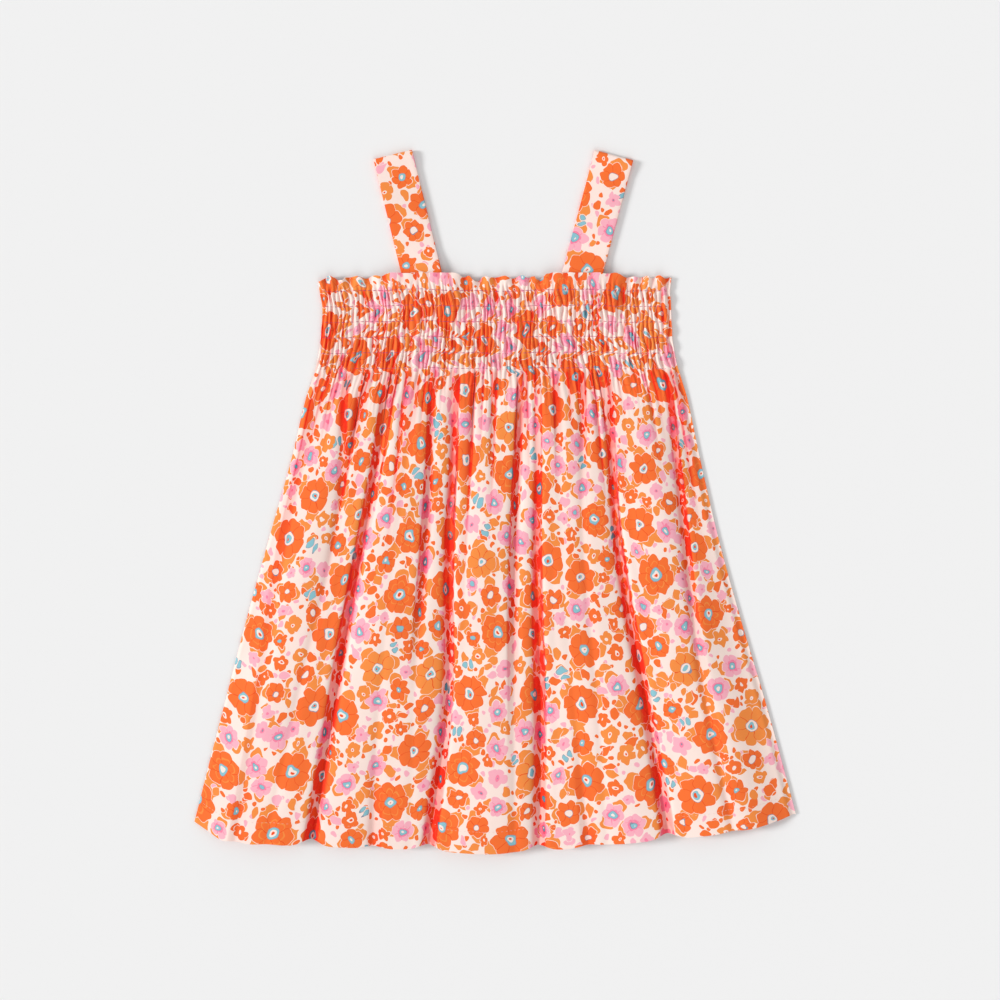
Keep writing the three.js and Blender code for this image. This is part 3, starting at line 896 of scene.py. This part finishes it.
# Spun polyester sewing thread: round, slightly glossy, with a twist that breaks up its shine.
def sewing_thread(name, colour):
    material, tree = blank_material(name)
    place = put(tree, "TexCoord", [], out="Object")
    settings = {"Vector": place, "Scale": 900.0, "Distortion": 1.0}
    twist = put(tree, "TexWave", settings, out=1, bands_direction="DIAGONAL")
    # Painted shade: the colour darkens by up to a fifth in bands along the twist, in the grooves between
    # the plies
    shade = put(tree, "MapRange", [twist, 0.0, 1.0, 0.8, 1.0])
    tone = mixed(tree, 1.0, (*colour, 1), shade, "MULTIPLY")
    bump = put(tree, "Bump", {"Strength": 0.3, "Distance": 0.00004, "Height": twist})
    shader = put(
        tree,
        "BsdfPrincipled",
        {"Base Color": tone, "Roughness": 0.55, "IOR": 1.55, "Sheen Weight": 0.1, "Normal": bump},
    )
    put(tree, "OutputMaterial", [shader], out=None)
    return material


def cloth_material(scene):
    material = bpy.data.materials.get("washed plain-weave cotton, floral print")
    if material:
        return material
    tints = scene.sundress_colours
    names = ("ground", "orange", "flame", "amber", "pink", "rose", "teal", "slate")
    return printed_cotton({name: (*getattr(tints, name), 1) for name in names})


def strap_path():
    """The strap's middle line from its back end to the fold and to its front end, as (along, height)."""
    tucked = {"back": 1.5 * WALL + GAP, "front": 2.5 * WALL + 2 * GAP}
    laid = {"back": WALL / 2, "front": 1.5 * WALL + GAP}
    along = np.concatenate([[-STRAP_TUCK], np.linspace(-2, STRAP_LENGTH - STRAP_LOOP, 40)])
    descent = smooth(*STRAP_DESCENT, along)
    loop = smooth(STRAP_LENGTH - STRAP_LOOP_RAMP, STRAP_LENGTH - STRAP_LOOP, along)
    back = tucked["back"] + (laid["back"] - tucked["back"]) * descent
    front = tucked["front"] + (laid["front"] - tucked["front"]) * descent
    front = front + (laid["back"] + 2 * STRAP_LOOP - front) * loop
    turn = np.linspace(-np.pi / 2, np.pi / 2, 12)[1:-1]
    bend_along = STRAP_LENGTH - STRAP_LOOP + STRAP_LOOP * np.cos(turn)
    bend = np.stack([bend_along, laid["back"] + STRAP_LOOP * (1 + np.sin(turn))], 1)
    return np.concatenate([np.stack([along, back], 1), bend, np.stack([along, front], 1)[::-1]])


def strap_section(thickness):
    """Points round a flat tube of cloth, as (across, up), with soft edges."""
    flat = np.linspace(-0.5, 0.5, 14) * (STRAP_WIDTH - thickness)
    edge = np.linspace(-np.pi / 2, np.pi / 2, 7)[1:-1]
    side = np.stack([np.cos(edge), np.sin(edge)], 1) * thickness / 2
    right = side + [(STRAP_WIDTH - thickness) / 2, 0]
    left = -side + [-(STRAP_WIDTH - thickness) / 2, 0]
    under = np.stack([flat, np.full_like(flat, -thickness / 2)], 1)
    ring = np.concatenate([under, right, -under, left])
    return np.concatenate([ring, ring[:1]])


class SundressSizes(bpy.types.PropertyGroup):
    cloth_thickness: bpy.props.FloatProperty(
        name="Cloth thickness", description="Thickness of the cotton", default=0.0005, unit="LENGTH"
    )
    rib_height: bpy.props.FloatProperty(
        name="Rib height", description="How far the shirred ribs stand proud", default=0.0021, unit="LENGTH"
    )
    fold_height: bpy.props.FloatProperty(
        name="Fold height", description="Height of the folds, as a share of the solid's", default=1.3
    )
    thread_width: bpy.props.FloatProperty(
        name="Thread width", description="Width of the shirring thread", default=0.0005, unit="LENGTH"
    )
    hem_depth: bpy.props.FloatProperty(
        name="Hem depth", description="From the hem's stitches to its edge", default=0.015, unit="LENGTH"
    )


def tint(name, description, text):
    return bpy.props.FloatVectorProperty(
        name=name, description=description, subtype="COLOR", default=from_hex(text), min=0, max=1
    )


class SundressColours(bpy.types.PropertyGroup):
    ground: tint("Ground", "Unprinted cotton, blush white", "#FEE6DC")
    orange: tint("Orange", "Most blossoms", "#FA7230")
    flame: tint("Flame", "Petal lines and centres", "#F0541C")
    amber: tint("Amber", "Leaves and some blossoms", "#F99043")
    pink: tint("Pink", "Pink blossoms and berries", "#FDB2C1")
    rose: tint("Rose", "Middles and petal lines of pink blossoms", "#FB86A5")
    teal: tint("Teal", "Eyes of the blossoms", "#8CC3CF")
    slate: tint("Slate", "Fine outlines round the teal", "#8E8FA0")
    thread: tint("Shirring thread", "Thread of the six shirring rows", "#BE4C7A")
    hem_thread: tint("Hem thread", "Thread of the hem", "#F7D8CB")
    floor: tint("Floor", "Plain studio floor", "#ECECEC")


class SUNDRESS_OT_front(bpy.types.Operator):
    """Makes the front: frill, shirred bodice and gathered skirt in one sheet of printed cotton"""

    bl_idname = "sundress.front"
    bl_label = "Front panel"

    def execute(self, context):
        sizes = context.scene.sundress_sizes

        def surface(across, length):
            x, y, z, shade = front_surface(across, length, sizes)
            return x, y, z, shade, laid_cut(x, z, shade, length), -length

        piece = cloth_grid("front_cloth", COLUMNS_PER_RIB * RIBS, down_steps(), surface)
        finish_cloth(piece, sizes.cloth_thickness, -1, cloth_material(context.scene), "front_panel")
        return {"FINISHED"}


class SUNDRESS_OT_back(bpy.types.Operator):
    """Makes the back, cut and shirred like the front, lying flat on the surface"""

    bl_idname = "sundress.back"
    bl_label = "Back panel"

    def execute(self, context):
        sizes = context.scene.sundress_sizes

        def surface(across, length):
            x, y, z, shade = back_surface(across, length, sizes)
            return x, y, z, shade, -laid_cut(x, z, shade, length) + BACK_PRINT, -length

        piece = cloth_grid("back_cloth", COLUMNS_PER_RIB * RIBS, down_steps(), surface)
        finish_cloth(piece, sizes.cloth_thickness, 1, cloth_material(context.scene), "back_panel")
        return {"FINISHED"}


class SUNDRESS_OT_straps(bpy.types.Operator):
    """Makes the two straps: flat tubes of cotton, folded over at the shoulder"""

    bl_idname = "sundress.straps"
    bl_label = "Straps"

    def execute(self, context):
        path = strap_path()
        section = strap_section(WALL)
        run = np.concatenate([[0], np.cumsum(np.hypot(*np.diff(path, axis=0).T))])
        around = np.concatenate([[0], np.cumsum(np.hypot(*np.diff(section, axis=0).T))])
        tangent = np.gradient(path, axis=0)
        tangent /= np.hypot(*tangent.T)[:, None]
        for number, strap in enumerate(STRAPS):
            lean = math.radians(strap["lean"])

            def surface(across, length, strap=strap, lean=lean, number=number):
                row = np.rint(length).astype(int)
                column = np.rint(across * (len(section) - 1)).astype(int)
                side, up = section[column, 0], section[column, 1]
                along = path[row, 0] + up * tangent[row, 1]
                z = path[row, 1] - up * tangent[row, 0]
                x = strap["foot"] + side * math.cos(lean) - along * math.sin(lean)
                y = TOP_EDGE_Y + along * math.cos(lean) + side * math.sin(lean)
                # Painted shade darkens the strap's cloth close to its folded edges
                edge = np.abs(side) / (STRAP_WIDTH / 2)
                shade = 0.35 * smooth(0.93, 1.0, edge)
                cut = around[column] + STRAP_PRINT["from"] + STRAP_PRINT["apart"] * number
                return x, y, z, shade, cut, run[row]

            piece = cloth_grid(strap["name"] + "_cloth", len(section) - 1, np.arange(len(path)), surface)
            bpy.ops.object.mode_set(mode="EDIT")
            bpy.ops.mesh.select_all(action="SELECT")
            bpy.ops.mesh.remove_doubles(threshold=0.00001)
            bpy.ops.mesh.select_all(action="SELECT")
            bpy.ops.mesh.fill_holes(sides=0)
            bpy.ops.mesh.select_all(action="SELECT")
            bpy.ops.mesh.normals_make_consistent(inside=False)
            bpy.ops.object.mode_set(mode="OBJECT")
            bpy.ops.object.shade_smooth_by_angle(angle=math.radians(STRAP_SMOOTH))
            piece.data.materials.append(cloth_material(context.scene))
            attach(piece, "root")
            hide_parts(strap["name"])
        return {"FINISHED"}


def stitch_row(name, spots, size, material):
    """Copies one small stitch to many spots. Each spot is its place and its turn about Z."""
    bpy.ops.object.select_all(action="DESELECT")
    bpy.ops.mesh.primitive_uv_sphere_add(segments=6, ring_count=4, radius=0.5, scale=size)
    piece = bpy.context.object
    piece.name = piece.data.name = name
    bpy.ops.object.transform_apply(location=False, rotation=False, scale=True)
    copies = piece.modifiers.new("copies", "ARRAY")
    copies.count = len(spots)
    copies.use_relative_offset = False
    bpy.ops.object.modifier_apply(modifier=copies.name)
    stitch = np.empty(len(piece.data.vertices) * 3)
    piece.data.vertices.foreach_get("co", stitch)
    x, y, z = stitch.reshape(len(spots), -1, 3).transpose(2, 0, 1)
    turn = spots[:, 3][:, None]
    turned = (x * np.cos(turn) - y * np.sin(turn), x * np.sin(turn) + y * np.cos(turn), z)
    points = np.stack(turned, -1) + spots[:, None, :3]
    piece.data.vertices.foreach_set("co", points.ravel())
    piece.data.update()
    bpy.ops.object.shade_smooth()
    piece.data.materials.append(material)
    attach(piece, "root")
    return piece


class SUNDRESS_OT_thread(bpy.types.Operator):
    """Sews the six rows of shirring thread on front and back"""

    bl_idname = "sundress.thread"
    bl_label = "Shirring thread"

    def execute(self, context):
        sizes = context.scene.sundress_sizes
        colour = tuple(context.scene.sundress_colours.thread)
        material = sewing_thread("spun polyester thread, plum", colour)
        width = sizes.thread_width
        across = (np.arange(1, RIBS)) / RIBS
        for name, surface, side in (("front", front_surface, 1), ("back", back_surface, -1)):
            spots = []
            for row in range(SHIRRING_ROWS):
                length = FRILL + row * ROW_SPACING + row_wave(across)
                x, y, z, _ = surface(across, length, sizes)
                lift = z * MM + side * width * 0.3
                lift = np.maximum(lift, width / 2)
                turn = np.arctan2(np.gradient(y), np.gradient(x))
                spots.append(np.stack([x * MM, y * MM, lift, turn], 1))
            size = (SHIRRING_STITCH, width, width)
            stitch_row(f"shirring_thread_{name}", np.concatenate(spots), size, material)
        return {"FINISHED"}


class SUNDRESS_OT_hem(bpy.types.Operator):
    """Sews the hem of the skirt, front and back"""

    bl_idname = "sundress.hem"
    bl_label = "Hem stitches"

    def execute(self, context):
        sizes = context.scene.sundress_sizes
        colour = tuple(context.scene.sundress_colours.hem_thread)
        material = sewing_thread("spun polyester thread, blush", colour)
        across = (np.arange(HEM_STITCHES) + 0.5) / HEM_STITCHES
        length = np.full_like(across, PANEL_LENGTH - sizes.hem_depth / MM)
        for name, surface, side in (("front", front_surface, 1), ("back", back_surface, -1)):
            x, y, z, _ = surface(across, length, sizes)
            lift = np.maximum(z * MM + side * 0.00005, 0.00012)
            turn = np.arctan2(np.gradient(y), np.gradient(x))
            spots = np.stack([x * MM, y * MM, lift, turn], 1)
            stitch_row(f"hem_stitches_{name}", spots, HEM_STITCH, material)
        return {"FINISHED"}


class SUNDRESS_OT_stage(bpy.types.Operator):
    """Sets a plain pale floor, soft studio light and a camera that looks straight down"""

    bl_idname = "sundress.stage"
    bl_label = "Studio"

    def execute(self, context):
        scene = context.scene
        bpy.ops.object.select_all(action="DESELECT")
        bpy.ops.mesh.primitive_plane_add(size=FLOOR_SIZE, location=(0, 0, 0))
        floor = context.object
        floor.name = "floor"
        floor.data.transform(floor.matrix_world)
        corners = [c for v in floor.data.vertices for c in (v.co.x, v.co.y, -FLOOR_DROP)]
        floor.data.vertices.foreach_set("co", corners)
        # Matt painted board, rolled on, with a grain too soft to see from above
        material, tree = blank_material("matt painted board")
        place = put(tree, "TexCoord", [], out="Object")
        grain = put(tree, "TexNoise", {"Vector": place, "Scale": 600.0, "Detail": 2.0})
        bump = put(tree, "Bump", {"Strength": 0.05, "Distance": 0.0001, "Height": grain})
        paint = (*scene.sundress_colours.floor, 1)
        shader = put(tree, "BsdfPrincipled", {"Base Color": paint, "Roughness": 0.9, "Normal": bump})
        put(tree, "OutputMaterial", [shader], out=None)
        floor.data.materials.append(material)

        world = bpy.data.worlds.new("studio")
        world.use_nodes = True
        sky = world.node_tree.nodes["Background"].inputs
        sky["Color"].default_value = (1, 1, 1, 1)
        sky["Strength"].default_value = ROOM_LIGHT
        scene.world = world
        for lamp in LAMPS:
            bpy.ops.object.light_add(type="SUN", location=lamp["from"])
            light = context.object
            light.name = lamp["name"]
            light.data.angle = math.radians(lamp["softness"])
            light.data.energy = lamp["power"]
            light.rotation_mode = "QUATERNION"
            light.rotation_quaternion = light.location.to_track_quat("Z", "Y")

        bpy.ops.object.camera_add(location=CAMERA["place"], rotation=(0, 0, 0))
        camera = context.object
        camera.name = "camera"
        camera.data.lens = CAMERA["lens"]
        camera.data.sensor_width = CAMERA["sensor"]
        scene.camera = camera
        scene.view_settings.view_transform = "Standard"
        return {"FINISHED"}


class SUNDRESS_PT_panel(bpy.types.Panel):
    bl_label = "Toddler's sundress"
    bl_idname = "SUNDRESS_PT_panel"
    bl_space_type = "VIEW_3D"
    bl_region_type = "UI"
    bl_category = "Sundress"

    def draw(self, context):
        for operator in OPERATORS:
            self.layout.operator(operator.bl_idname)
        for group in (context.scene.sundress_sizes, context.scene.sundress_colours):
            for name in group.__annotations__:
                self.layout.prop(group, name)


OPERATORS = (
    SUNDRESS_OT_thread,
    SUNDRESS_OT_hem,
    SUNDRESS_OT_front,
    SUNDRESS_OT_back,
    SUNDRESS_OT_straps,
    SUNDRESS_OT_stage,
)
CLASSES = (SundressSizes, SundressColours, *OPERATORS, SUNDRESS_PT_panel)


def register():
    for cls in CLASSES:
        bpy.utils.register_class(cls)
    bpy.types.Scene.sundress_sizes = bpy.props.PointerProperty(type=SundressSizes)
    bpy.types.Scene.sundress_colours = bpy.props.PointerProperty(type=SundressColours)


def unregister():
    del bpy.types.Scene.sundress_colours
    del bpy.types.Scene.sundress_sizes
    for cls in reversed(CLASSES):
        bpy.utils.unregister_class(cls)


def main():
    register()
    bpy.ops.sundress.thread()
    bpy.ops.sundress.hem()
    bpy.ops.sundress.front()
    bpy.ops.sundress.back()
    bpy.ops.sundress.straps()
    bpy.ops.sundress.stage()
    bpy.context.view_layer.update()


if __name__ == "__main__":
    main()
